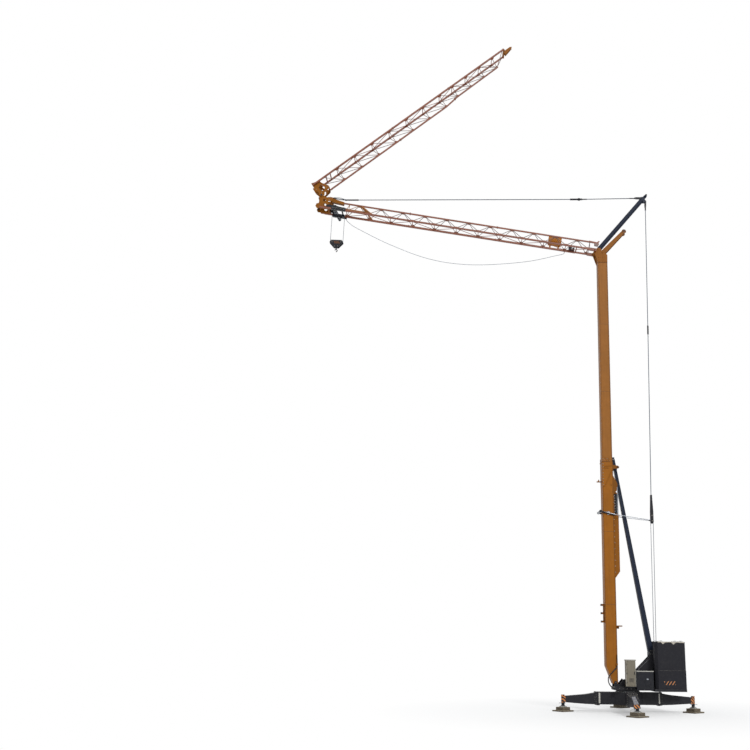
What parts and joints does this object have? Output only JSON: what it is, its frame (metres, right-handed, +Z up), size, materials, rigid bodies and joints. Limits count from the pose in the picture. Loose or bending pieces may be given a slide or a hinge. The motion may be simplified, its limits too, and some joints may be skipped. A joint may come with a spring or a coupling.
{
  "type": "self-erecting tower crane with a folding jib",
  "caption": "Self-erecting tower crane with a tubular mast, a lattice jib folded back on itself, ballast, and a cross of jacks on boards.",
  "frame": {"origin": "on the slewing axis, at the level of the ground under the boards", "axes": "+Z up along the slewing axis; the jib points to -X and the ballast stands at +X; +Y is the far side in the picture"},
  "size_m": [20.2158, 7.1402, 36.3397],
  "materials": {
    "mast_paint": "satin paint, orange brown, weathered",
    "jib_paint": "satin paint, orange brown, weathered",
    "slate_paint": "satin paint, dark slate",
    "dark_paint": "satin paint, near black",
    "ballast_paint": "painted ballast blocks, dark slate",
    "cabinet_paint": "powder coat, beige grey",
    "bare_steel": "greased machined steel",
    "hook_steel": "forged steel",
    "galvanised": "galvanised",
    "wire_rope": "galvanised wire rope",
    "hose_rubber": "matt black",
    "timber": "rough sawn, weathered"
  },
  "bodies": {
    "chassis": {"chassis_cross": "slate_paint", "outrigger_arms": "slate_paint", "slew_ring_lower": "bare_steel"},
    "jack_left": {"jack_left": "bare_steel", "pad_left": "timber"},
    "jack_front": {"jack_front": "bare_steel", "pad_front": "timber"},
    "jack_right": {"jack_right": "bare_steel", "pad_right": "timber"},
    "jack_rear": {"jack_rear": "bare_steel", "pad_rear": "timber"},
    "outer_jib": {"fold_cheeks": "jib_paint", "outer_near_side": "jib_paint", "outer_far_side": "jib_paint", "outer_bottom": "jib_paint", "outer_tip": "jib_paint"},
    "trolley": {"trolley": "dark_paint", "hoist_falls": "wire_rope"},
    "hook": {"hook_block": "dark_paint", "hook": "hook_steel"},
    "upperworks": {"slew_ring_upper": "bare_steel", "platform": "slate_paint", "mast_foot_bracket": "slate_paint", "electric_cabinet": "cabinet_paint", "machinery_box": "dark_paint", "hoist_winch": "dark_paint", "erection_winch": "dark_paint", "ballast_lower": "ballast_paint", "ballast_upper": "ballast_paint", "rear_post": "slate_paint", "mast_lower": "mast_paint", "mast_upper": "mast_paint", "mast_fittings": "mast_paint", "mast_rear_rail": "mast_paint", "rear_strut": "dark_paint", "guide_bar": "galvanised", "rope_block": "dark_paint", "back_stay": "wire_rope", "head_plates": "mast_paint", "head_strut": "dark_paint", "head_arm": "mast_paint", "pendant": "wire_rope", "jib_near_side": "jib_paint", "jib_far_side": "jib_paint", "jib_bottom": "jib_paint", "jib_box": "jib_paint", "trolley_winch": "dark_paint", "rope_guide": "dark_paint", "fold_fork": "jib_paint", "slack_rope": "wire_rope", "mast_hose": "hose_rubber"}
  },
  "joints": [
    {"name": "slewing", "type": "hinge", "parent": "chassis", "child": "upperworks", "pos_m": [0, 0, 0.945], "axis": [0, 0, 1], "continuous": true},
    {"name": "jib_fold", "type": "hinge", "parent": "upperworks", "child": "outer_jib", "pos_m": [-16.04579, 0, 26.21078], "axis": [0, -1, 0], "range_deg": [-30, 130.7]},
    {"name": "trolley_travel", "type": "slide", "parent": "upperworks", "child": "trolley", "axis": [0.9914, 0, -0.1305], "range_m": [0, 11.8]},
    {"name": "hoist", "type": "slide", "parent": "trolley", "child": "hook", "axis": [0, 0, 1], "range_m": [0, 1.1], "deforming": ["hoist_falls"]},
    {"name": "jack_screw_left", "type": "slide", "parent": "chassis", "child": "jack_left", "axis": [0, 0, -1], "range_m": [0, 0.2]},
    {"name": "jack_screw_front", "type": "slide", "parent": "chassis", "child": "jack_front", "axis": [0, 0, -1], "range_m": [0, 0.2]},
    {"name": "jack_screw_right", "type": "slide", "parent": "chassis", "child": "jack_right", "axis": [0, 0, -1], "range_m": [0, 0.2]},
    {"name": "jack_screw_rear", "type": "slide", "parent": "chassis", "child": "jack_rear", "axis": [0, 0, -1], "range_m": [0, 0.2]}
  ]
}
